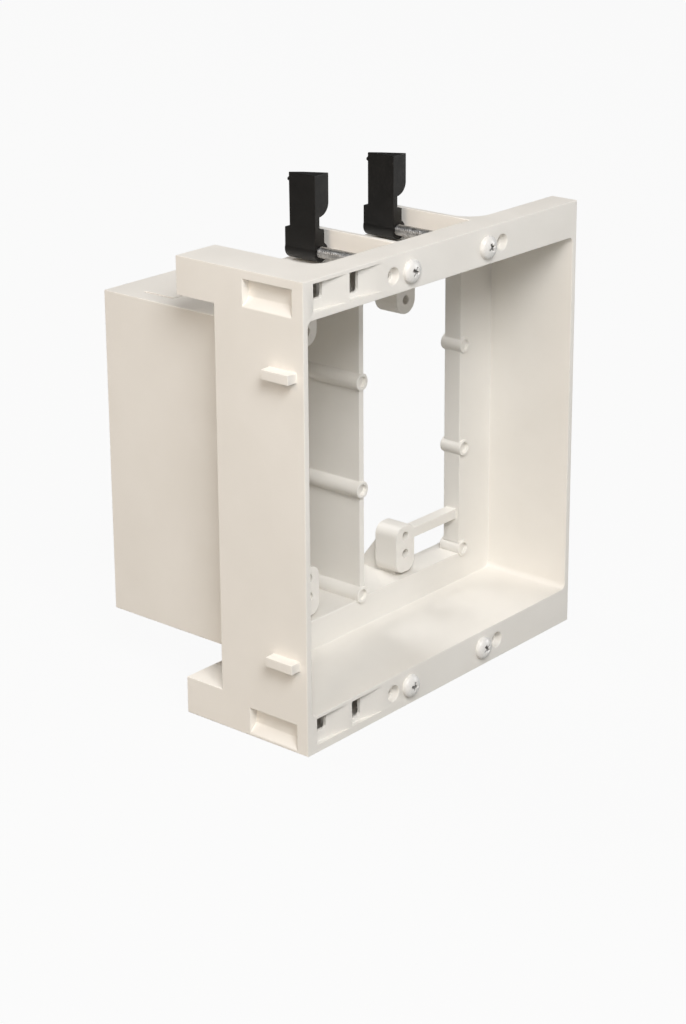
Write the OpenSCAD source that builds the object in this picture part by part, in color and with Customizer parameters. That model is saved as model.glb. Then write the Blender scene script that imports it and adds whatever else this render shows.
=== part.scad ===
// Recessed two-gang wall box for a stud wall: a closed power side, an open
// low-voltage side, and four swing-out wings on long screws.
// X runs along the front, Y into the wall, Z up. All sizes are in millimetres.

/* [Front frame] */
// Width of the front frame
frame_w = 128; // [124:0.5:150]
// Height of the front frame
frame_h = 140; // [136:0.5:160]
// Depth of the heavy front rim
rim_d = 9.5; // [8:0.5:12]
// Height of the top and the bottom flange
flange_h = 11.5; // [11:0.1:14]
// Thickness of the two side walls
side_t = 2; // [1.5:0.1:3]
// General wall of the moulding
wall = 1.8; // [1.4:0.1:2.4]
// Corner radius inside the well
well_r = 1.8; // [0.5:0.1:4]

/* [Well and gangs] */
// Depth of the well, from the front to the ledge
well_d = 31.2; // [24:0.2:40]
// Thickness of the ledge plate
ledge_t = 2; // [1.5:0.1:3]
// Height of the ledge above the well floor
ledge_h = 9.5; // [7:0.1:11]
// Width of each gang's opening
gang_w = 47.8; // [44:0.1:50]
// Thickness of the divider between the gangs
divider_t = 2; // [1.5:0.1:3]
// How far the divider stands left of the frame's middle
gang_shift = 2.8; // [0:0.1:4]
// Overall depth of the closed power side
power_d = 88; // [60:0.5:88.5]
// Depth of the right lip of the low-voltage opening
side_lip_d = 4.3; // [2:0.1:9]
// Depth of its top and bottom lips
lip_d = 8.5; // [5:0.1:12]

/* [Device bosses] */
// Height between the device screws
device_span = 83.34; // [80:0.01:86]
// Distance between the two gangs' devices
gang_pitch = 46; // [44:0.1:48]
// Set-back of the boss faces behind the well's ledge
boss_setback = 1.3; // [0.5:0.1:4]
// Width of a boss
boss_w = 9; // [7:0.1:11]
// Length of a boss along its screw
boss_l = 8.8; // [6:0.1:12]
// Reach of the gusset behind a boss
gusset_l = 10; // [6:0.5:14]
// Thickness of the gusset
gusset_t = 3; // [2:0.1:5]
// Radius of the pilot holes
pilot_r = 1.4; // [1:0.05:1.8]
// Distance up to the spare lower hole
spare_hole = 5.9; // [4:0.1:6.5]
// Height of a lower boss above its spare hole
boss_rise = 3.5; // [2.8:0.1:5]
// Free space under a lower boss
boss_foot = 1.2; // [0.5:0.1:2.5]
// Corner radius of a lower boss
boss_r = 3.4; // [1:0.1:3.5]
// Height of the rail beside the lower boss
rail_h = 3.4; // [2.4:0.1:5]
// Thickness of that rail
rail_t = 4; // [2.5:0.1:6]

/* [Screw posts] */
// Radius of a post
post_r = 2.65; // [2:0.05:3.5]
// Height of the lowest post above the opening's floor
post_low = 1.3; // [0:0.1:4]
// Distance from post to post
post_pitch = 34.5; // [28:0.1:38]
// Length of the posts on the divider
divider_post_l = 28; // [15:0.5:40]
// How far the posts stand in front of the ledge
post_proud = 0.8; // [0.2:0.1:3]
// Depth of the holes in the posts' ends
post_hole_d = 1.2; // [0.8:0.1:9]
// Rim round those holes
post_rim = 0.95; // [0.8:0.05:1.3]
// How far the posts end behind the right lip
post_tail = 1; // [0.5:0.1:2]
// How far the divider's posts lean over its left face
post_lean = 0.6; // [0:0.1:1.2]

/* [Wing bays] */
// Distance between the two wing screws
wing_pitch = 35.8; // [33:0.1:38]
// Distance of the wing screws from the frame's edge
screw_inset = 6; // [5.8:0.05:6.4]
// Back end of the bays, from the front
bay_back = 47.5; // [44:0.1:60]
// From a screw's axis to the wall that stops its wing
stop_gap = 4; // [3.6:0.1:5]
// Corner radius inside the bay beside the stud
bay_r = 6; // [2:0.5:7]
// Fillet between the outer bay wall and the rim
outer_fillet = 8; // [3:0.5:9]

/* [Wings] */
// Height of a wing above its screw
wing_l = 23.2; // [20.5:0.1:26]
// Depth of the clamping flap
flap_d = 9.9; // [8:0.1:11]
// Height of the flap itself
flap_h = 12.6; // [10:0.1:13]
// Distance from the screw axis to the wing's flat side
wing_left = 2.8; // [2.6:0.05:3]
// Distance from the screw axis to the flap's other edge
wing_right = 3.4; // [2.5:0.1:3.5]
// Thickness of the neck
neck_t = 2; // [1.6:0.1:3]
// Rounding of the flap's lower corner
flap_r = 4; // [2:0.1:5]
// Skin of the cored flap
flap_skin = 1.7; // [1.2:0.1:2.2]
// Length of the threaded collar
collar_d = 11.8; // [11:0.1:14]
// Height of the collar above the screw axis
collar_h = 6.6; // [5:0.1:7.4]
// Outer radius of the sleeve round the screw
sleeve_r = 3; // [2.9:0.05:3.2]
// How far the collar's block reaches past the screw axis
collar_side = 1.4; // [0:0.1:2]
// Rib between the two cores of the flap
flap_rib = 1.2; // [0.8:0.1:2]
// Radius of the stop nub on the flap's back
nub_r = 0.7; // [0.5:0.05:1]
// How far that nub stands out
nub_out = 0.6; // [0.3:0.1:1]
// Distance from the wing's end to the nub
nub_drop = 2.2; // [1.2:0.1:4]
// Free space between a wing at rest and the back of its bay
wing_rest = 2.3; // [0.8:0.1:4]

/* [Wing screws] */
// Radius of the screw's shank
shank_r = 1.75; // [1.5:0.05:2]
// Running clearance round the shank
run_gap = 0.05; // [0.02:0.01:0.1]
// Radius of the pan head
head_r = 3.45; // [3:0.05:3.9]
// Height of the pan head
head_h = 2.3; // [1.8:0.1:3]
// Length of a screw under its head
screw_l = 45; // [42:0.1:50]
// Width of the slots of the cross recess
recess_w = 0.9; // [0.6:0.05:1.2]
// Length of those slots
recess_l = 3.8; // [2.5:0.1:4.4]
// Depth of the cross recess
recess_d = 1.2; // [0.6:0.1:1.5]

/* [Cover screw holes] */
// Distance between the left and the right hole
trim_pitch = 51; // [49:0.1:53]
// Radius of the counterbore
trim_r = 2.5; // [2.2:0.05:3]
// Depth of the counterbore
trim_d = 2.4; // [0.8:0.1:3]
// Draft of its wall
trim_draft = 0.3; // [0:0.05:0.5]
// Depth of the blind hole
trim_hole_d = 8; // [5:0.1:8.4]

/* [Stud pockets] */
// Left end of the first pocket
pocket_x = 4.2; // [3.9:0.1:5]
// Distance from pocket to pocket
pocket_pitch = 15.2; // [12:0.1:15.5]
// Land between two pockets
pocket_land = 1; // [0.5:0.1:2]
// Height of the pockets
pocket_h = 8; // [6:0.1:8.3]
// Height of the pocket floor above the flange's lower edge
pocket_base = 2.3; // [1.8:0.1:2.5]
// Depth of the ramps at their slots
pocket_d = 1.6; // [1:0.1:2.2]
// Width of the nail slots
slot_w = 5.5; // [3.5:0.1:6.2]
// Height of the first slot
slot_1_h = 5; // [3.5:0.1:6.5]
// Height of the second slot
slot_2_h = 6.6; // [3.5:0.1:7.5]
// Corner radius of the slots
slot_r = 0.8; // [0.3:0.1:1.4]
// Thickness of the plate that the slots go through
slot_plate = 1.2; // [1:0.1:2.2]
// Depth of the recess in the side face
side_cut = 2.6; // [1:0.1:3]
// Start of the side recess behind the front
side_cut_y = 4.2; // [3:0.1:6]
// Length of the side recess
side_cut_l = 18; // [10:0.5:22]

/* [Flange cores] */
// Front skin of the cored flanges
core_skin = 2.4; // [1.8:0.1:3.5]
// Spacing of the cores, about
core_pitch = 9; // [7:0.5:12]

/* [Gauge ribs] */
// Thickness of the wall board, set by the rear ends of the ribs
board_t = 12.7; // [9.5:0.1:16]
// Front end of the ribs behind the front
rib_y = 2.7; // [1:0.1:6]
// Thickness of a rib
rib_t = 2.9; // [1.5:0.1:4]
// How far a rib stands out
rib_out = 3.5; // [2:0.1:5]
// Height of each rib from the middle
rib_z = 42.7; // [30:0.1:50]

/* [Cable entries] */
// Width of a cable tongue
tongue_w = 14; // [10:0.5:18]
// Length of a cable tongue
tongue_l = 12; // [9:0.5:16]
// Width of the slit round a tongue
tongue_gap = 0.9; // [0.6:0.1:1.5]
// Distance from the tongues to the back
tongue_back = 11; // [5:0.5:16]
// Distance from the first tongue to the side wall
tongue_side = 4; // [3:0.1:4.5]
// Space between two tongues
tongue_space = 8; // [4:0.5:9]

/* [Hidden] */
$fn = 40;

// Cuts and unions run past a face by this much
eps = 0.5;

// The well and the two openings in its ledge
well_left = side_t;
well_right = frame_w - side_t;
well_low = flange_h;
well_high = frame_h - flange_h;
ledge_back = well_d + ledge_t;
mid_x = frame_w / 2 - gang_shift;
divider_left = mid_x - divider_t / 2;
divider_right = mid_x + divider_t / 2;
open_left = divider_left - gang_w;
open_right = divider_right + gang_w;
open_low = well_low + ledge_h;
open_high = frame_h - open_low;

// Device bosses
boss_y = well_d + boss_setback;
boss_back = boss_y + boss_l;
gusset_back = boss_back + gusset_l;
device_low = (frame_h - device_span) / 2;
device_high = frame_h - device_low;
boss_high = device_low + spare_hole;
power_x = mid_x - gang_pitch / 2;
signal_x = mid_x + gang_pitch / 2;

// Screw posts on the divider and on the right lip
divider_post_x = divider_left + post_lean;
lip_post_x = open_right + wall;
post_front = well_d - post_proud;

// Wing bays, given for the top pair; the bottom pair is turned by half a turn
bay_floor = well_high + wall;
screw_high = frame_h - screw_inset;
bay_w = wing_pitch - wall;
bay_b_right = frame_w / 2 + wing_pitch / 2 + stop_gap;
bay_a_right = bay_b_right - wing_pitch;
bay_a_left = bay_a_right - bay_w;

// Wings at rest, inside the back of the bays
wing_front = bay_back - wing_rest - collar_d;
bore_r = shank_r + run_gap;

// Corner blocks beside the stud
block_w = bay_a_left;
hollow_front = pocket_d + slot_plate;
hollow_left = side_cut + wall;
hollow_right = pocket_x + 2 * pocket_pitch - pocket_land - wall;
slot_heights = [slot_1_h, slot_2_h];

// The part's own origin is the middle of its underside
origin_x = (frame_w - rib_out) / 2;
origin_y = (power_d - head_h) / 2;

housing_colour = [0.87, 0.85, 0.82];
wing_colour = [0.07, 0.07, 0.075];
screw_colour = [0.93, 0.93, 0.92];

// Extrudes a shape drawn in X and Z from y0 to y1
module along_y(y0, y1) {
    translate([0, y1, 0]) rotate([90, 0, 0]) linear_extrude(y1 - y0) children();
}

// A box between two corners
module box(low, high) {
    translate(low) cube(high - low);
}

// A round bar along Y
module rod(x, z, y0, y1, r) {
    translate([x, y0, z]) rotate([-90, 0, 0]) cylinder(h = y1 - y0, r = r);
}

// A rectangle with round corners, between two corners
module round_rect(low, high, r) {
    translate([low.x + r, low.y]) square([high.x - low.x - 2 * r, high.y - low.y]);
    translate([low.x, low.y + r]) square([high.x - low.x, high.y - low.y - 2 * r]);
    for (x = [low.x + r, high.x - r], y = [low.y + r, high.y - r]) translate([x, y]) circle(r);
}

// The hollow corner fill of radius r, with its corner at the origin and its body towards +X and +Y
module corner_fill(r, h) {
    translate([-eps, -eps, 0]) difference() {
        cube([r + eps, r + eps, h]);
        translate([r + eps, r + eps, -eps]) cylinder(h = h + 2 * eps, r = r);
    }
}

// Shows its children at the top, and again turned by half a turn for the bottom
module top_and_bottom() {
    children();
    translate([frame_w, 0, frame_h]) rotate([0, 180, 0]) children();
}

// The heavy front rim and the well behind it, closed by the ledge plate
module frame_and_well() {
    difference() {
        union() {
            box([0, 0, 0], [frame_w, rim_d, frame_h]);
            box([0, 0, well_low - wall], [frame_w, ledge_back, well_high + wall]);
        }
        along_y(-eps, well_d) round_rect([well_left, well_low], [well_right, well_high], well_r);
        box([open_left, well_d - eps, open_low], [divider_left, ledge_back + eps, open_high]);
        box([divider_right, well_d - eps, open_low], [open_right, ledge_back + eps, open_high]);
    }
}

// A cable tongue: a flap left standing inside a slit on three sides
module tongue_slit(x, y, z0, z1) {
    for (side = [0, tongue_w]) box([x + side, y, z0], [x + side + tongue_gap, y + tongue_l, z1]);
    box([x, y, z0], [x + tongue_w + tongue_gap, y + tongue_gap, z1]);
}

// The closed power side behind the left gang
module power_side() {
    tongue_y = power_d - tongue_back - tongue_l;
    difference() {
        box([open_left - wall, ledge_back - eps, open_low - wall], [divider_right, power_d, open_high + wall]);
        box([open_left, ledge_back - 2 * eps, open_low], [divider_left, power_d - divider_t, open_high]);
        for (z = [open_low - wall, open_high], i = [0, 1])
            tongue_slit(open_left + tongue_side + i * (tongue_w + tongue_space), tongue_y, z - eps, z + wall + eps);
    }
}

// The lips round the open low-voltage side
module signal_lips() {
    lip_right = open_right + wall;
    box([open_right, ledge_back - eps, open_low - wall], [lip_right, ledge_back + side_lip_d, open_high + wall]);
    for (z = [open_low - wall, open_high])
        box([divider_left, ledge_back - eps, z], [lip_right, ledge_back + lip_d, z + wall]);
}

// A gusset behind a boss, standing on the floor of its opening, with a stretch of floor under it
module boss_gusset(x, top) {
    front = boss_y + boss_l / 3;
    translate([x - gusset_t / 2, 0, 0]) rotate([90, 0, 90]) linear_extrude(gusset_t)
        polygon([[front, open_low - wall], [gusset_back, open_low - wall], [gusset_back, open_low],
                 [boss_back, top], [front, top]]);
    box([x - gang_pitch / 2, ledge_back, open_low - wall], [x + boss_w / 2, gusset_back, open_low]);
}

// The lower boss: an upright block with round corners for the device hole and a spare one
module lower_boss(x) {
    along_y(boss_y, boss_back)
        round_rect([x - boss_w / 2, open_low + boss_foot], [x + boss_w / 2, boss_high + boss_rise], boss_r);
    boss_gusset(x, boss_high);
}

// The upper boss: a round lobe that hangs from the top of its opening
module upper_boss(x) {
    r = boss_w / 2;
    along_y(boss_y, boss_back) {
        translate([x - r, device_high]) square([boss_w, open_high - device_high + wall / 2]);
        translate([x, device_high]) circle(r);
    }
    translate([0, 0, frame_h]) mirror([0, 0, 1]) boss_gusset(x, device_low);
}

// Both bosses of each gang, and the rail from the lower boss to the right lip
module device_bosses() {
    for (x = [power_x, signal_x]) {
        lower_boss(x);
        upper_boss(x);
    }
    box([signal_x, boss_y, boss_high - rail_h / 2], [open_right + wall / 2, boss_y + rail_t, boss_high + rail_h / 2]);
}

// Pilot holes in the bosses
module device_holes() {
    for (x = [power_x, signal_x], z = [device_low, device_low + spare_hole, device_high])
        rod(x, z, boss_y - eps, boss_back - 1, pilot_r);
}

// Three posts along the divider and three on the right lip
module screw_posts() {
    for (i = [0:2]) {
        z = open_low + post_low + i * post_pitch;
        rod(divider_post_x, z, post_front, post_front + divider_post_l, post_r);
        rod(lip_post_x, z, post_front, ledge_back + side_lip_d + post_tail, post_r);
    }
}

module post_holes() {
    for (i = [0:2], x = [divider_post_x, lip_post_x])
        rod(x, open_low + post_low + i * post_pitch, post_front - eps, post_front + post_hole_d, post_r - post_rim);
}

// The two bays that the top wings fold into
module wing_bays() {
    box([bay_a_left - wall, rim_d - eps, well_high], [bay_b_right + wall, bay_back, bay_floor]);
    for (x = [bay_a_left - wall, bay_a_right, bay_b_right])
        box([x, rim_d - eps, bay_floor - eps], [x + wall, bay_back, frame_h]);
    for (x = [bay_a_left - wall, bay_a_right, bay_b_right])
        box([x, ledge_back - eps, open_high], [x + wall, ledge_back + lip_d, well_high + eps]);
    translate([bay_a_left, rim_d, bay_floor - eps]) corner_fill(bay_r, frame_h - bay_floor + eps);
    translate([bay_b_right + wall, rim_d, bay_floor - eps])
        corner_fill(outer_fillet, frame_h - bay_floor + eps);
}

// A corner block beside the stud, with its underside at z0
module stud_block(z0) {
    box([0, rim_d - eps, z0], [block_w, bay_back, z0 + flange_h]);
}

// Its hollow, open at the back, which runs on inside the rim behind the pockets
module stud_hollow(z0) {
    low = z0 + wall;
    high = z0 + flange_h - wall;
    box([hollow_left, hollow_front, low], [block_w - wall, bay_back + eps, high]);
    box([wall, side_cut_y + side_cut_l + wall, low], [block_w - wall, bay_back + eps, high]);
    box([hollow_left, hollow_front, low], [hollow_right, rim_d - wall, high]);
}

// The saw-tooth pockets with their nail slots, and the recess in the side face
module stud_cuts(z0) {
    pocket_low = z0 + pocket_base;
    for (i = [0, 1]) {
        x = pocket_x + i * pocket_pitch;
        slot_high = pocket_low + pocket_h;
        translate([x, 0, pocket_low]) linear_extrude(pocket_h)
            polygon([[0, -eps], [0, pocket_d], [slot_w, pocket_d],
                     [pocket_pitch - pocket_land, 0], [pocket_pitch - pocket_land, -eps]]);
        along_y(0, hollow_front + eps)
            round_rect([x, slot_high - slot_heights[i]], [x + slot_w, slot_high], slot_r);
    }
    side_low = z0 + wall / 2;
    side_high = z0 + flange_h - 1.5 * wall;
    along_y(side_cut_y, side_cut_y + side_cut_l)
        polygon([[-eps, side_low], [0, side_low], [side_cut, side_low + side_cut], [side_cut, side_high],
                 [-eps, side_high]]);
}

// Weight-saving pockets in the back of a flange from x0 to x1
module flange_cores(x0, x1, z0) {
    count = max(1, floor((x1 - x0 + wall) / core_pitch));
    step = (x1 - x0 + wall) / count;
    for (i = [0:count - 1])
        box([x0 + i * step, core_skin, z0 + wall], [x0 + (i + 1) * step - wall, rim_d + eps, z0 + flange_h - wall]);
}

// Two ribs that bear on the face of the stud and set the box out by the board's thickness
module gauge_ribs() {
    for (side = [-1, 1])
        box([-rib_out, rib_y, frame_h / 2 + side * rib_z - rib_t / 2],
            [side_t / 2, board_t, frame_h / 2 + side * rib_z + rib_t / 2]);
}

// Clearance holes for the wing screws, and stepped blind holes for the cover's screws
module front_holes() {
    for (side = [-1, 1]) {
        rod(frame_w / 2 + side * wing_pitch / 2, screw_high, -eps, rim_d + eps, bore_r);
        x = frame_w / 2 + side * trim_pitch / 2;
        rod(x, screw_high, -eps, trim_hole_d, pilot_r);
        translate([x, -0.01, screw_high]) rotate([-90, 0, 0])
            cylinder(h = trim_d, r1 = trim_r, r2 = trim_r - trim_draft);
    }
}

// The whole moulding
module housing() {
    color(housing_colour) in_place() difference() {
        union() {
            frame_and_well();
            power_side();
            signal_lips();
            top_and_bottom() wing_bays();
            for (z = [0, well_high]) stud_block(z);
            gauge_ribs();
            device_bosses();
            screw_posts();
        }
        device_holes();
        post_holes();
        top_and_bottom() front_holes();
        for (z = [0, well_high]) {
            stud_cuts(z);
            stud_hollow(z);
        }
        flange_cores(bay_b_right + wall + outer_fillet + 1, well_right, well_high);
        flange_cores(frame_w - bay_a_left + 2 * wall, well_right, 0);
    }
}

// A wing screw along +Y from the underside of its head at the origin
module wing_screw() {
    tip = 1;
    crown = 0.8;
    dome_r = head_r * 0.9;
    color(screw_colour) difference() {
        union() {
            rotate([-90, 0, 0]) rotate_extrude()
                polygon([[0, 0], [shank_r, 0], [shank_r, screw_l - tip], [shank_r - tip, screw_l], [0, screw_l]]);
            rotate([90, 0, 0]) rotate_extrude() intersection() {
                square([head_r, head_h]);
                union() {
                    square([head_r, crown]);
                    translate([0, crown - dome_r]) circle(dome_r + head_h - crown, $fn = 56);
                }
            }
        }
        for (turn = [0, 90]) rotate([0, turn, 0])
            translate([-recess_l / 2, -head_h - eps, -recess_w / 2]) cube([recess_l, recess_d + eps, recess_w]);
    }
}

// The flap seen from the front, with its lower corner on the free side rounded
module flap_outline() {
    low = wing_l - flap_h;
    intersection() {
        translate([-wing_left, low]) square([wing_left + wing_right, flap_h]);
        union() {
            translate([-wing_left, low + flap_r]) square([wing_left + wing_right, flap_h]);
            translate([-wing_left, low]) square([wing_left + wing_right - flap_r, flap_h]);
            translate([wing_right - flap_r, low + flap_r]) circle(flap_r);
        }
    }
}

// A wing standing up from its screw, which lies along Y at the origin; the front face is at y = 0
module wing() {
    color(wing_colour) difference() {
        union() {
            rod(0, 0, 0, collar_d, sleeve_r);
            along_y(0, collar_d) translate([-wing_left, 0]) square([wing_left + collar_side, collar_h]);
            along_y(0, flap_d) {
                translate([-wing_left, collar_h - eps]) square([neck_t, wing_l - collar_h + eps]);
                flap_outline();
            }
            rod(nub_r - wing_left, wing_l - nub_drop, flap_d - eps, flap_d + nub_out, nub_r);
        }
        rod(0, 0, -eps, collar_d + eps, bore_r);
        core_low = wing_l - flap_h + flap_r;
        core_h = (wing_l - flap_skin - core_low - flap_rib) / 2;
        for (i = [0, 1])
            box([neck_t - wing_left, flap_skin, core_low + i * (core_h + flap_rib)],
                [wing_right + eps, flap_d - flap_skin, core_low + i * (core_h + flap_rib) + core_h]);
    }
}

// Moves the model so that its origin is the middle of its underside
module in_place() {
    translate([-origin_x, -origin_y, 0]) children();
}

// Puts children on a screw axis: side is -1 for left and 1 for right
module on_top_screw(side, y) {
    in_place() translate([frame_w / 2 + side * wing_pitch / 2, y, screw_high]) children();
}

module on_bottom_screw(side, y) {
    in_place() translate([frame_w / 2 + side * wing_pitch / 2, y, screw_inset]) children();
}

module wing_screw_top_left() { on_top_screw(-1, 0) wing_screw(); }
module wing_screw_top_right() { on_top_screw(1, 0) wing_screw(); }
module wing_screw_bottom_left() { on_bottom_screw(-1, 0) wing_screw(); }
module wing_screw_bottom_right() { on_bottom_screw(1, 0) wing_screw(); }

// The top wings stand up behind the wall board; the bottom ones are folded into their bays
module wing_top_left() { on_top_screw(-1, wing_front) wing(); }
module wing_top_right() { on_top_screw(1, wing_front) wing(); }
module wing_bottom_left() { on_bottom_screw(-1, wing_front) rotate([0, 90, 0]) wing(); }
module wing_bottom_right() { on_bottom_screw(1, wing_front) rotate([0, 90, 0]) wing(); }

housing();
wing_screw_top_left();
wing_screw_top_right();
wing_screw_bottom_left();
wing_screw_bottom_right();
wing_top_left();
wing_top_right();
wing_bottom_left();
wing_bottom_right();
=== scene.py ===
import math
import bmesh
import bpy
import numpy as np
from mathutils import Matrix, Vector
from mathutils.bvhtree import BVHTree


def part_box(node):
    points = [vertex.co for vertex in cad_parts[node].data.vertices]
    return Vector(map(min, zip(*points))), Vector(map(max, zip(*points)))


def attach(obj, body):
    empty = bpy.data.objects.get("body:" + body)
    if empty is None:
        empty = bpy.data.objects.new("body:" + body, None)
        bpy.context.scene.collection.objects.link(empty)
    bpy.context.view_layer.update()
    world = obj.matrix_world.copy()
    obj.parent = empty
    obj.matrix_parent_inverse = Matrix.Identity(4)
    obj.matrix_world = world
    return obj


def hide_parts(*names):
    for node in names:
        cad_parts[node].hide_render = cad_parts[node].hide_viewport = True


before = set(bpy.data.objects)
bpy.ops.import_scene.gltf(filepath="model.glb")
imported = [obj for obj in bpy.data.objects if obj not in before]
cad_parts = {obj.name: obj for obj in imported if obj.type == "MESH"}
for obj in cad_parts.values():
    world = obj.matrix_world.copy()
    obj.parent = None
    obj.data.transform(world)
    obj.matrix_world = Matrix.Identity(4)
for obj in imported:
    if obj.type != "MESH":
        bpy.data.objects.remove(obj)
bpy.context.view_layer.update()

# Camera
# A studio camera that looks down on the box from the left front, as the photograph does. The
# part stands on its lower flange, and the camera's own upright is turned by a hair.
CAMERA_PLACE = (-0.5118, -0.4420, 0.3007)   # metres, in the part's frame
CAMERA_HEADING = 51.0                       # degrees from +Y towards +X
CAMERA_DIP = 16.84                          # degrees below the horizon
CAMERA_ROLL = 0.09                          # degrees
LENS_PIXELS = 2322.5                        # focal length in pixels of the 1024-pixel side
LENS_SHIFT = (-0.06, -0.15)                 # shares of the long side
SENSOR = 36.0                               # millimetres
LONG_SIDE = 1024                            # pixels


def aim(heading, dip, roll):
    """Camera axes: look along the heading, tip down by the dip, then turn about the line of sight."""
    h, d, r = (math.radians(v) for v in (heading, dip, roll))
    ahead = Vector((math.sin(h) * math.cos(d), math.cos(h) * math.cos(d), -math.sin(d)))
    right = Vector((math.cos(h), -math.sin(h), 0))
    up = right.cross(ahead)
    right, up = right * math.cos(r) + up * math.sin(r), up * math.cos(r) - right * math.sin(r)
    return Matrix((right, up, -ahead)).transposed().to_4x4()


cam = bpy.data.objects.new("camera", bpy.data.cameras.new("camera"))
bpy.context.scene.collection.objects.link(cam)
cam.data.sensor_width = SENSOR
cam.data.lens = LENS_PIXELS / LONG_SIDE * SENSOR
cam.data.shift_x, cam.data.shift_y = LENS_SHIFT
cam.matrix_world = Matrix.Translation(CAMERA_PLACE) @ aim(CAMERA_HEADING, CAMERA_DIP, CAMERA_ROLL)
bpy.context.scene.camera = cam
bpy.context.scene.view_settings.view_transform = "Standard"

# Studio
# A pale sweep under the box that reads as near-white behind it, a soft key lamp high on the left
# of the front, a weak warm one on the left, one from behind, a low fill, and a faint surround.
FLOOR_HALF = 6.0                            # metres
FLOOR_COLOUR = (0.38, 0.38, 0.37)
FLOOR_ROUGHNESS = 0.9
FLOOR_SPECULAR = 0.1
FLOOR_GLOW = 1.0                            # what the camera sees of the floor, 1 is white
FLOOR_SHADE = 0.06                          # share of it that is the floor's own lit surface
SURROUND_STRENGTH = 0.06
WHITE = (1, 1, 1)
LAMP_TARGET = (0, 0, 0.07)
LAMPS = (                                   # name, place, side in metres, watts, tint
    ("key_lamp", (-0.520, -0.670, 0.815), 0.5, 10.3, WHITE),
    ("left_lamp", (-1.986, -0.174, 1.000), 1.0, 14, (1, 0.83, 0.66)),
    ("back_lamp", (0, 1.556, 1.626), 1.0, 20, WHITE),
    ("fill_lamp", (1.400, -1.150, 0.220), 0.5, 5.8, WHITE),
)


def new_material(name):
    """A material with nodes, as (material, node tree, shader)."""
    made = bpy.data.materials.new(name)
    made.use_nodes = True
    tree = made.node_tree
    return made, tree, tree.nodes["Principled BSDF"]


def soft_lamp(name, place, size, watts, tint):
    """A square area lamp of the given size in metres, turned to face the box."""
    data = bpy.data.lights.new(name, "AREA")
    data.size, data.energy, data.color = size, watts, tint
    lamp = bpy.data.objects.new(name, data)
    bpy.context.scene.collection.objects.link(lamp)
    lamp.location = place
    lamp.rotation_mode = "QUATERNION"
    lamp.rotation_quaternion = (Vector(LAMP_TARGET) - Vector(place)).to_track_quat("-Z", "Y")


floor_mesh = bpy.data.meshes.new("floor")
corners = [(-FLOOR_HALF, -FLOOR_HALF, 0), (FLOOR_HALF, -FLOOR_HALF, 0),
           (FLOOR_HALF, FLOOR_HALF, 0), (-FLOOR_HALF, FLOOR_HALF, 0)]
floor_mesh.from_pydata(corners, [], [(0, 1, 2, 3)])
floor = bpy.data.objects.new("floor", floor_mesh)
bpy.context.scene.collection.objects.link(floor)
floor_paint, tree, shader = new_material("floor_paint")
shader.inputs["Base Color"].default_value = (*FLOOR_COLOUR, 1)
shader.inputs["Roughness"].default_value = FLOOR_ROUGHNESS
shader.inputs["Specular IOR Level"].default_value = FLOOR_SPECULAR
glow = tree.nodes.new("ShaderNodeEmission")
glow.inputs["Color"].default_value = (FLOOR_GLOW, FLOOR_GLOW, FLOOR_GLOW, 1)
path = tree.nodes.new("ShaderNodeLightPath")
share = tree.nodes.new("ShaderNodeMath")
share.operation = "MULTIPLY"
share.inputs[1].default_value = 1 - FLOOR_SHADE
both = tree.nodes.new("ShaderNodeMixShader")
tree.links.new(path.outputs["Is Camera Ray"], share.inputs[0])
tree.links.new(share.outputs["Value"], both.inputs["Fac"])
tree.links.new(shader.outputs["BSDF"], both.inputs[1])
tree.links.new(glow.outputs["Emission"], both.inputs[2])
tree.links.new(both.outputs["Shader"], tree.nodes["Material Output"].inputs["Surface"])
floor_mesh.materials.append(floor_paint)

for lamp_values in LAMPS:
    soft_lamp(*lamp_values)
world = bpy.data.worlds.new("surround")
bpy.context.scene.world = world
world.use_nodes = True
surround = world.node_tree.nodes["Background"]
surround.inputs["Color"].default_value = (*WHITE, 1)
surround.inputs["Strength"].default_value = SURROUND_STRENGTH

# Housing
# One moulding in warm off-white rigid plastic, with a fine satin skin from the tool, soft
# tooled edges and a faint clouding in the colour. Nothing holds it here: it stands by itself.
HOUSING_EDGE = 0.00032                      # metres, the width of a rounded edge
HOUSING_DARK = (0.855, 0.825, 0.772)        # the darker shade of the clouding
HOUSING_PALE = (0.885, 0.856, 0.806)        # and the paler one
HOUSING_SPECULAR = 0.42
MERGE_GAP = 3e-6                            # metres; points closer than this are one
FLAT_JOIN = 0.4                             # degrees; faces that meet flatter than this are one
EDGE_ANGLE = 25.0                           # degrees; edges sharper than this are rounded
CREASE_ANGLE = 50.0                         # degrees; joins sharper than this stay creased
BEVEL_STEPS = 2
BEVEL_PROFILE = 0.6
BEVEL_DEPTH = 0.6                           # furthest a good bevel stands off the skin, in widths
NO_AREA = 1e-12                             # square metres
ON_SKIN = 2e-6                              # metres; a triangle this near lies on the skin
SAME_WAY = 0.3                              # cosine between two normals that count as alike
FAULT_REACH = 0.0005                        # metres; an edge this near to a fault stays sharp
FAULT_LENGTHS = (0.005, 0.005, 0.02, 0.02, 1.0, 1.0, 1.0)   # the longest such edge, try by try
COLOUR_SPAN = (0.32, 0.68)                  # noise at the darker and at the paler shade
ROUGHNESS_SPAN = (0.3, 0.7)                 # noise at the lesser and at the greater roughness
CLOUD_DETAIL = 3.0
FINE_DETAIL = 2.0


def rounded(form, width, sharp):
    """A copy of the form with a bevel of the given width on the sharp edges, in triangles."""
    form = form.copy()
    form.edges.ensure_lookup_table()
    edges = [form.edges[i] for i in sharp]
    bmesh.ops.bevel(form, geom=edges, offset=width, offset_type="OFFSET", segments=BEVEL_STEPS,
                    profile=BEVEL_PROFILE, affect="EDGES", clamp_overlap=False, loop_slide=True)
    bmesh.ops.triangulate(form, faces=form.faces[:])
    return form


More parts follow.
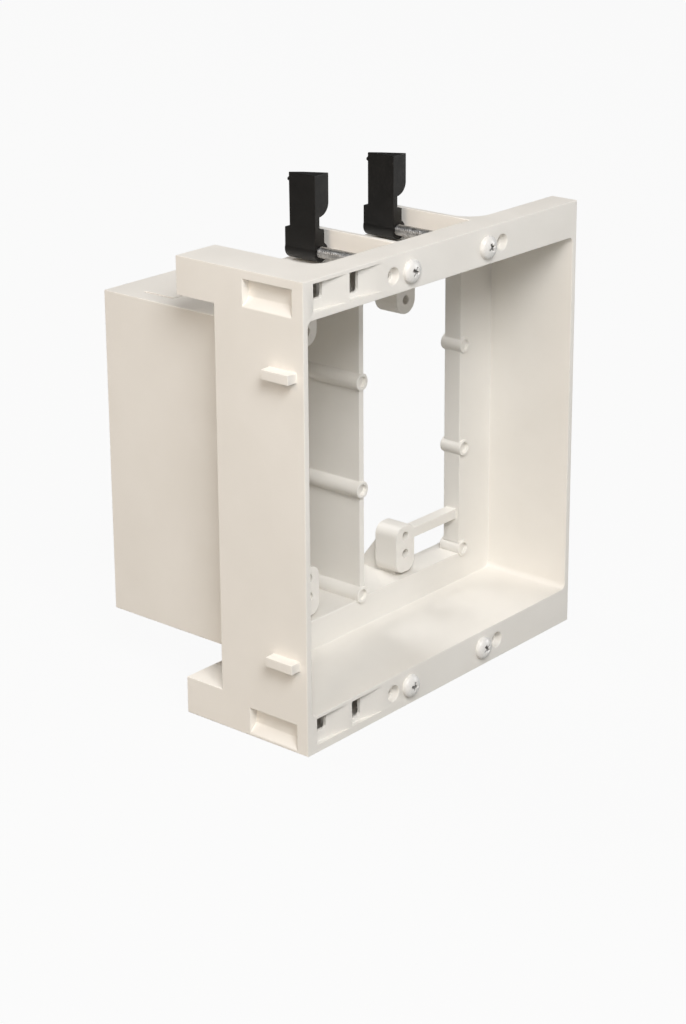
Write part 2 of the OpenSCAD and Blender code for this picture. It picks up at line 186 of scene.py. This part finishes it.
def faults(form, skin, width):
    """Points on the old skin where a bevel went wrong: at triangles that stand off the skin by
    more than a bevel can, or that lie on it and face the other way."""
    limit = BEVEL_DEPTH * width
    points = []
    for face in form.faces:
        if face.calc_area() < NO_AREA:
            continue
        _, normal, _, far = skin.find_nearest(face.calc_center_median())
        if far > limit or (far < ON_SKIN and face.normal.dot(normal) < SAME_WAY):
            points += [v.co.copy() for v in face.verts if skin.find_nearest(v.co)[3] < limit]
    return np.array(points)


def distance_to_edge(points, start, end):
    """The least distance from the points to an edge: each point's place along the edge is held
    between its ends, and the distance is from there."""
    along = end - start
    share = np.clip((points - start) @ along / (along @ along), 0, 1)
    return np.linalg.norm(points - start - share[:, None] * along, axis=1).min()


def mesh_points(mesh):
    """A mesh's points as an array with a row for each."""
    points = np.empty(len(mesh.vertices) * 3, np.float32)
    mesh.vertices.foreach_get("co", points)
    return points.reshape(-1, 3)


def softened(node, name, width):
    """A copy of a CAD node with its flat faces joined up again and its sharp edges rounded by a
    bevel of the given width. Where the bevel fails, such as where a curve runs into a flat, the
    edges within reach stay sharp: short ones first, then any. Its points are held inside the
    node's box, and its normals are weighted by face area, so the flats stay flat."""
    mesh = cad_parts[node].data.copy()
    mesh.name = name
    mesh.materials.clear()
    if "custom_normal" in mesh.attributes:
        mesh.attributes.remove(mesh.attributes["custom_normal"])
    form = bmesh.new()
    form.from_mesh(mesh)
    bmesh.ops.remove_doubles(form, verts=form.verts, dist=MERGE_GAP)
    bmesh.ops.dissolve_limit(form, angle_limit=math.radians(FLAT_JOIN), verts=form.verts, edges=form.edges)
    form.edges.index_update()
    skin = form.copy()
    bmesh.ops.triangulate(skin, faces=skin.faces[:])
    skin = BVHTree.FromBMesh(skin)
    sharp = {edge.index: (np.array(edge.verts[0].co), np.array(edge.verts[1].co)) for edge in form.edges
             if edge.is_manifold and edge.calc_face_angle(0) > math.radians(EDGE_ANGLE)}
    for longest in FAULT_LENGTHS:
        made = rounded(form, width, sharp)
        points = faults(made, skin, width)
        if len(points) == 0:
            break
        for index, (start, end) in list(sharp.items()):
            if distance_to_edge(points, start, end) < FAULT_REACH and np.linalg.norm(end - start) < longest:
                del sharp[index]
    for face in made.faces:
        face.smooth = True
    made.to_mesh(mesh)
    made.free()
    form.free()
    low, high = (tuple(corner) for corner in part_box(node))
    mesh.vertices.foreach_set("co", np.clip(mesh_points(mesh), low, high).ravel())
    mesh.set_sharp_from_angle(angle=math.radians(CREASE_ANGLE))
    piece = bpy.data.objects.new(name, mesh)
    bpy.context.scene.collection.objects.link(piece)
    weigh = piece.modifiers.new("normals", "WEIGHTED_NORMAL")
    weigh.keep_sharp = True
    return piece


def noise(tree, scale, detail):
    """A noise node in the object's own metres; returns its value socket."""
    place = tree.nodes.new("ShaderNodeTexCoord")
    grain = tree.nodes.new("ShaderNodeTexNoise")
    grain.inputs["Scale"].default_value = scale
    grain.inputs["Detail"].default_value = detail
    tree.links.new(place.outputs["Object"], grain.inputs["Vector"])
    return grain.outputs["Fac"]


def vary_colour(tree, shader, low, high, scale):
    """Base colour that wanders between two shades with a noise of the given scale."""
    ramp = tree.nodes.new("ShaderNodeValToRGB")
    for stop, place, colour in zip(ramp.color_ramp.elements, COLOUR_SPAN, (low, high)):
        stop.position = place
        stop.color = (*colour, 1)
    tree.links.new(noise(tree, scale, CLOUD_DETAIL), ramp.inputs["Fac"])
    tree.links.new(ramp.outputs["Color"], shader.inputs["Base Color"])


def vary_roughness(tree, shader, low, high, scale):
    """Roughness that wanders between two values with a noise of the given scale."""
    spread = tree.nodes.new("ShaderNodeMapRange")
    ends = {"From Min": ROUGHNESS_SPAN[0], "From Max": ROUGHNESS_SPAN[1], "To Min": low, "To Max": high}
    for socket, value in ends.items():
        spread.inputs[socket].default_value = value
    tree.links.new(noise(tree, scale, FINE_DETAIL), spread.inputs["Value"])
    tree.links.new(spread.outputs["Result"], shader.inputs["Roughness"])


def add_grain(tree, shader, scale, depth, strength):
    """Fine bumps of the given depth in metres, from a noise of the given scale."""
    bump = tree.nodes.new("ShaderNodeBump")
    bump.inputs["Strength"].default_value = strength
    bump.inputs["Distance"].default_value = depth
    tree.links.new(noise(tree, scale, FINE_DETAIL), bump.inputs["Height"])
    tree.links.new(bump.outputs["Normal"], shader.inputs["Normal"])


housing_plastic, tree, shader = new_material("housing_plastic")
vary_colour(tree, shader, HOUSING_DARK, HOUSING_PALE, scale=45)
vary_roughness(tree, shader, 0.40, 0.52, scale=130)
add_grain(tree, shader, scale=1900, depth=0.0001, strength=0.25)
shader.inputs["Specular IOR Level"].default_value = HOUSING_SPECULAR
housing = softened("housing", "box_housing", HOUSING_EDGE)
housing.data.materials.append(housing_plastic)
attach(housing, "housing")
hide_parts("housing")

# Wing screws
# Four long machine screws of steel: a zinc shank with a 32-per-inch thread, and a pan head in
# white enamel, with painted shade in dull dark grey at the bottom of its cross recess. Each turns in its
# hole in the front rim.
SCREW_X = {"left": -0.01615, "right": 0.01965}
SCREW_Z = {"top": 0.134, "bottom": 0.006}
FRONT_Y = -0.04285
SHANK_LENGTH = 0.045
SHANK_SIDES = 28
THREAD_PITCH = 0.0254 / 32
THREAD_STEPS = 6                            # rows of points in one pitch
THREAD_CREST = 0.00174
THREAD_ROOT = 0.00137
TIP_SHARE = 0.55                            # the tip's radius, as a share of the root's
SHANK_START = -0.0002                       # a little inside the head
HEAD_SIDES = 56
HEAD_RADIUS = 0.00345
HEAD_HEIGHT = 0.0023
HEAD_WALL = 0.0008
HEAD_ROUND = 0.0001
DOME_START = 0.12                           # radians above the head's wall
DOME_STEPS = 14
RECESS_HALF = 0.0017
RECESS_WIDTH = 0.00052
RECESS_DEPTH = 0.0017
RECESS_SHADE_DEPTH = 0.0006                     # how far down the enamel reaches into the recess; below it the recess gets painted shade
RECESS_TURN = {"top_left": 0.5, "top_right": 1.1, "bottom_left": 0.2, "bottom_right": 0.9}
CUTTER_PROUD = 0.0005
CUTTER_REACH = (1.12, 0.42)                 # at its top and at its tip, in recess halves
CUTTER_BREADTH = (1.10, 0.75)               # the same, in recess widths
ENAMEL_FACE = 0
ZINC_FACE = 1
# faces at the bottom of the recess, which get the painted shade
SHADED_RECESS_FACE = 2
SCREW_CREASE = 38                           # degrees; joins sharper than this stay creased
SAME_POINT = 2e-6                           # metres; points closer than this are one
NO_LENGTH = 1e-7                            # metres; an edge this short is dropped


def quads(near, after):
    """Faces between a grid of point numbers and the same grid one step further round."""
    return np.stack([near[:-1], after[:-1], after[1:], near[1:]], axis=-1).reshape(-1, 4)


def threaded_shank():
    """Points and faces of a threaded bar along +Y from the head's underside. Rows run along the
    helix: a row's y is its number times a share of the pitch plus a pitch per turn, and its radius
    follows the thread's flanks, which rise from root to crest over a third of the pitch, stay for
    a sixth, fall over a third and rest for a sixth. Both ends are cut square and the tip tapers."""
    rows = int((SHANK_LENGTH / THREAD_PITCH + 2) * THREAD_STEPS)
    row, side = np.meshgrid(np.arange(rows + THREAD_STEPS), np.arange(SHANK_SIDES), indexing="ij")
    share = (row % THREAD_STEPS) / THREAD_STEPS
    rise = np.interp(share, [0, 1 / 3, 1 / 2, 5 / 6, 1], [0, 1, 1, 0, 0])
    y = (row / THREAD_STEPS - 1 + side / SHANK_SIDES) * THREAD_PITCH
    radius = THREAD_ROOT + (THREAD_CREST - THREAD_ROOT) * rise
    radius = np.minimum(radius, THREAD_ROOT * TIP_SHARE + np.clip(SHANK_LENGTH - y, 0, None))
    radius = np.where(y <= 0, THREAD_ROOT, radius)
    y = np.clip(y, SHANK_START, SHANK_LENGTH)
    turn = side / SHANK_SIDES * 2 * np.pi
    points = np.stack([radius * np.cos(turn), y, -radius * np.sin(turn)], axis=-1).reshape(-1, 3)
    place = np.arange(len(points)).reshape(-1, SHANK_SIDES)
    after = np.column_stack([place[:rows, 1:], place[THREAD_STEPS:, 0]])
    return points, quads(place[:rows], after).tolist()


def revolved(profile, sides):
    """Points and faces of a profile of (radius, y) pairs turned about the Y axis: x is the radius
    times the cosine of the turn and z is the radius times its sine."""
    radius, y = np.array(profile, float).T[:, :, None]
    turn = np.arange(sides) / sides * 2 * np.pi
    points = np.stack([radius * np.cos(turn), y + 0 * turn, radius * np.sin(turn)], axis=-1).reshape(-1, 3)
    place = np.arange(len(points)).reshape(-1, sides)
    return points, quads(place, np.roll(place, -1, axis=1)).tolist()


def head_profile():
    """The pan head's profile: a flat underside, a short wall and a dome that is part of an ellipse,
    whose radius is the head's times the cosine of an angle and whose height goes with its sine."""
    angle = np.linspace(DOME_START, math.pi / 2, DOME_STEPS)[:-1]
    radius = HEAD_RADIUS * np.cos(angle)
    y = -HEAD_WALL - (HEAD_HEIGHT - HEAD_WALL) * np.sin(angle)
    wall = [(0, 0), (HEAD_RADIUS - HEAD_ROUND, 0), (HEAD_RADIUS, -HEAD_ROUND), (HEAD_RADIUS, -HEAD_WALL)]
    return np.vstack([wall, np.column_stack([radius, y]), [(0, -HEAD_HEIGHT)]])


def cross_cutter():
    """A cross-shaped plug that tapers towards its tip, for cutting the recess out of the head. At
    each depth a quarter's outline is the two corners of an arm's tip and the inner corner after
    them, and it is turned four times by a quarter; reach and breadth shrink evenly with the depth."""
    depth = np.array([-CUTTER_PROUD, RECESS_SHADE_DEPTH, RECESS_DEPTH])
    ends = (-CUTTER_PROUD, RECESS_DEPTH)
    tip = RECESS_HALF * np.interp(depth, ends, CUTTER_REACH)
    side = RECESS_WIDTH * np.interp(depth, ends, CUTTER_BREADTH)
    along = np.stack([tip, tip, side], axis=-1)[:, None, :]
    across = np.stack([-side, side, side], axis=-1)[:, None, :]
    turn = np.arange(4)[:, None] * np.pi / 2
    x = along * np.cos(turn) - across * np.sin(turn)
    z = along * np.sin(turn) + across * np.cos(turn)
    y = (depth - HEAD_HEIGHT)[:, None, None] + 0 * x
    points = np.stack([x, y, z], axis=-1).reshape(-1, 3)
    place = np.arange(len(points)).reshape(len(depth), -1)
    walls = quads(place, np.roll(place, -1, axis=1)).tolist()
    return points, [place[0].tolist(), place[-1][::-1].tolist()] + walls


def as_object(name, points, faces):
    """A mesh object from points and faces, with points that coincide merged, faces without area
    dropped and the rest turned outwards."""
    mesh = bpy.data.meshes.new(name)
    mesh.from_pydata(points.tolist(), [], faces)
    form = bmesh.new()
    form.from_mesh(mesh)
    bmesh.ops.remove_doubles(form, verts=form.verts, dist=SAME_POINT)
    bmesh.ops.dissolve_degenerate(form, dist=NO_LENGTH, edges=form.edges)
    bmesh.ops.recalc_face_normals(form, faces=form.faces)
    form.to_mesh(mesh)
    form.free()
    made = bpy.data.objects.new(name, mesh)
    bpy.context.scene.collection.objects.link(made)
    return made


def finish_faces(mesh, finish):
    """Gives every face its material's number and smooth shading."""
    mesh.polygons.foreach_set("material_index", np.asarray(finish, np.int32))
    mesh.polygons.foreach_set("use_smooth", np.ones(len(mesh.polygons), bool))


head = as_object("screw_head", *revolved(head_profile(), HEAD_SIDES))
cutter = as_object("screw_cutter", *cross_cutter())
cut = head.modifiers.new("recess", "BOOLEAN")
cut.operation, cut.solver, cut.object = "DIFFERENCE", "EXACT", cutter
depsgraph = bpy.context.evaluated_depsgraph_get()
head_mesh = bpy.data.meshes.new_from_object(head.evaluated_get(depsgraph))
centre = np.empty(len(head_mesh.polygons) * 3, np.float32)
head_mesh.polygons.foreach_get("center", centre)
centre = centre.reshape(-1, 3)
# Faces of the recess below the enamel's reach get the dull dark grey painted shade.
shaded_recess_faces = (centre[:, 1] > RECESS_SHADE_DEPTH - HEAD_HEIGHT) & (centre[:, 1] < -HEAD_ROUND)
shaded_recess_faces &= np.hypot(centre[:, 0], centre[:, 2]) < RECESS_HALF
finish_faces(head_mesh, np.where(shaded_recess_faces, SHADED_RECESS_FACE, ENAMEL_FACE))
shank = as_object("screw_shank", *threaded_shank())
finish_faces(shank.data, np.full(len(shank.data.polygons), ZINC_FACE))

enamel, tree, shader = new_material("screw_enamel")
vary_colour(tree, shader, (0.80, 0.79, 0.765), (0.85, 0.84, 0.82), scale=400)
vary_roughness(tree, shader, 0.22, 0.34, scale=900)
add_grain(tree, shader, scale=2600, depth=0.00004, strength=0.2)
zinc, tree, shader = new_material("screw_zinc")
vary_colour(tree, shader, (0.34, 0.335, 0.33), (0.56, 0.555, 0.55), scale=700)
vary_roughness(tree, shader, 0.28, 0.45, scale=1500)
add_grain(tree, shader, scale=4000, depth=0.00003, strength=0.3)
shader.inputs["Metallic"].default_value = 1.0
# Painted shade for the bottom of the cross recess: a dull dark grey, not metal.
recess_shade_paint, tree, shader = new_material("screw_recess_shade")
vary_colour(tree, shader, (0.24, 0.235, 0.225), (0.38, 0.37, 0.355), scale=1200)
vary_roughness(tree, shader, 0.45, 0.65, scale=1500)
add_grain(tree, shader, scale=4000, depth=0.00003, strength=0.3)

for level in ("top", "bottom"):
    for hand in ("left", "right"):
        spot = f"{level}_{hand}"
        form = bmesh.new()
        form.from_mesh(head_mesh)
        form.from_mesh(shank.data)
        turn = Matrix.Rotation(RECESS_TURN[spot], 4, "Y")
        form.transform(Matrix.Translation((SCREW_X[hand], FRONT_Y, SCREW_Z[level])) @ turn)
        mesh = bpy.data.meshes.new(f"machine_screw_{spot}")
        form.to_mesh(mesh)
        form.free()
        for finish in (enamel, zinc, recess_shade_paint):
            mesh.materials.append(finish)
        screw = bpy.data.objects.new(f"machine_screw_{spot}", mesh)
        bpy.context.scene.collection.objects.link(screw)
        mesh.set_sharp_from_angle(angle=math.radians(SCREW_CREASE))
        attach(screw, f"screw_{spot}")
        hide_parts(f"wing_screw_{spot}")
for scrap in (head, cutter, shank):
    bpy.data.objects.remove(scrap)

# Wings
# Four clamping wings of black nylon, half glossy, each screwed on its screw by the threaded
# collar. The flap is cored from its free side, and its end slopes down to the back.
WING_EDGE = 0.00028
WING_DARK = (0.0045, 0.0042, 0.0040)
WING_PALE = (0.0080, 0.0075, 0.0072)
WING_SPECULAR = 0.36
END_PLATE = 0.0016                          # metres, how thick the flap's end is
END_FALL = 0.0011                           # metres, how far its back corner drops
FALL_HASTE = 1.2                            # the fall ends at one part in 1.2 of the way back


def slope_end(wing, spot, level):
    """Lowers the flap's end plate towards its back and its free side. A point within the plate's
    thickness of the end drops by the fall times its share of the way back, times its share of the
    way across, times its share of the way up through the plate."""
    low, high = (np.array(corner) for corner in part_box(f"wing_{spot}"))
    points = mesh_points(wing.data)
    up, across = (2, 0) if level == "top" else (0, 2)
    rise = np.clip(1 - (high[up] - points[:, up]) / END_PLATE, 0, 1)
    aside = (points[:, across] - low[across]) / (high[across] - low[across])
    if level == "bottom":
        aside = 1 - aside
    back = (points[:, 1] - low[1]) / (high[1] - low[1])
    points[:, up] -= END_FALL * rise * np.clip(aside, 0, 1) * np.clip(back * FALL_HASTE, 0, 1)
    wing.data.vertices.foreach_set("co", points.ravel())
    wing.data.update()


wing_nylon, tree, shader = new_material("wing_nylon")
vary_colour(tree, shader, WING_DARK, WING_PALE, scale=300)
vary_roughness(tree, shader, 0.38, 0.52, scale=260)
add_grain(tree, shader, scale=1400, depth=0.0001, strength=0.25)
shader.inputs["Specular IOR Level"].default_value = WING_SPECULAR
for level in ("top", "bottom"):
    for hand in ("left", "right"):
        spot = f"{level}_{hand}"
        wing = softened(f"wing_{spot}", f"clamp_wing_{spot}", WING_EDGE)
        slope_end(wing, spot, level)
        wing.data.materials.append(wing_nylon)
        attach(wing, f"wing_{spot}")
        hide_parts(f"wing_{spot}")
